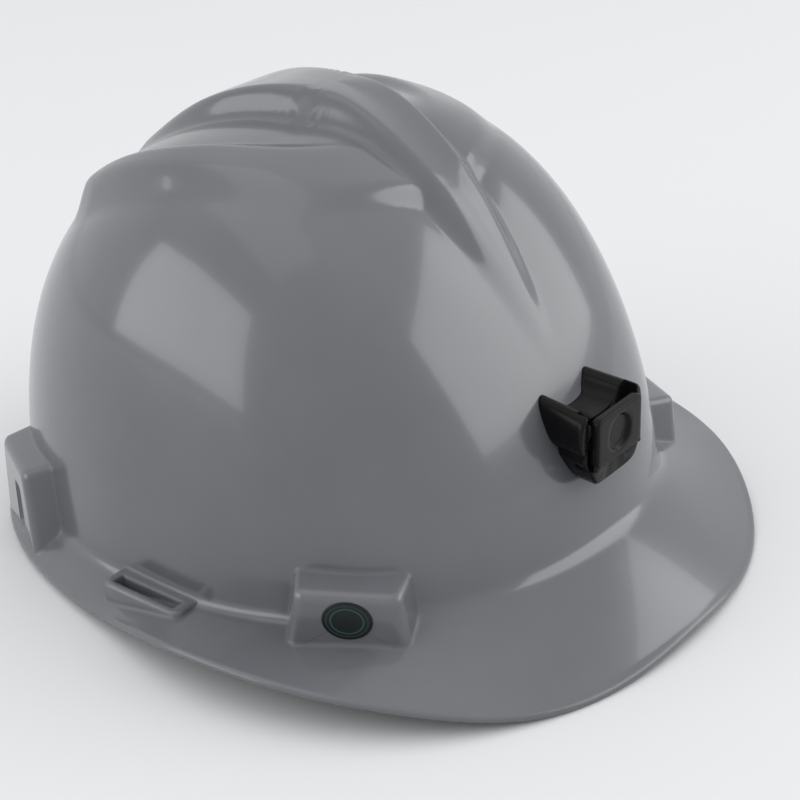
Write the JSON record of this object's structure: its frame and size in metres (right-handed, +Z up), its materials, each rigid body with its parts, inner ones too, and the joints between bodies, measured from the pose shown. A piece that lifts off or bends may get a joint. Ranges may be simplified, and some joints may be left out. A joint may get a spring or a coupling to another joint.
{
  "type": "miner helmet",
  "caption": "Hard hat for mining with a crested dome, a wide front peak, a lamp bracket on the brow and a ratchet-adjusted head suspension inside.",
  "frame": {"origin": "centre of the outline in plan, at the height of the lowest point of the brim, on which the helmet stands", "axes": "front (peak and lamp bracket) is -Y, the wearer's left is +X, up is +Z"},
  "size_m": [0.2418, 0.2809, 0.1647],
  "materials": {
    "shell_plastic": "glossy moulded plastic",
    "black_gloss": "glossy moulded plastic",
    "steel": "zinc plated",
    "aluminium": "plain",
    "label_plastic": "satin film",
    "band_plastic": "fine textured",
    "pad_fabric": "padded cloth",
    "knob_plastic": "satin",
    "key_plastic": "fine textured",
    "webbing": "woven band"
  },
  "bodies": {
    "helmet": {"shell": "shell_plastic", "lamp_bracket": "black_gloss", "bracket_backing_plate": "steel", "bracket_rivets": "aluminium", "cable_clip": "black_gloss", "cable_clip_rivet": "aluminium", "side_label": "label_plastic", "head_band": "band_plastic", "brow_pad": "pad_fabric", "ratchet_housing": "band_plastic", "ratchet_cover": "band_plastic", "housing_screws": "steel", "nape_pad": "pad_fabric", "detent_ring": "knob_plastic", "suspension_key_front_right": "key_plastic", "suspension_key_front_left": "key_plastic", "suspension_key_rear_right": "key_plastic", "suspension_key_rear_left": "key_plastic", "crown_strap_lower": "webbing", "crown_strap_upper": "webbing"},
    "knob": {"ratchet_knob": "knob_plastic", "ratchet_pinion": "knob_plastic"},
    "left_strap": {"left_size_strap": "band_plastic"},
    "right_strap": {"right_size_strap": "band_plastic"}
  },
  "joints": [
    {"name": "knob_turn", "type": "hinge", "parent": "helmet", "child": "knob", "pos_m": [0, 0.104, 0.02], "axis": [0, 1, 0], "range_deg": [-170, 170]},
    {"name": "left_strap_slide", "type": "hinge", "parent": "helmet", "child": "left_strap", "pos_m": [0, 0.0215, 0.02], "axis": [0, 0, 1], "range_deg": [-14.1, 14.1]},
    {"name": "right_strap_slide", "type": "hinge", "parent": "helmet", "child": "right_strap", "pos_m": [0, 0.0215, 0.02], "axis": [0, 0, 1], "range_deg": [-14.4, 14.4]}
  ],
  "couplings": [
    {"joint": "left_strap_slide", "follows": "knob_turn", "ratio": -0.082262},
    {"joint": "right_strap_slide", "follows": "knob_turn", "ratio": 0.083879}
  ]
}
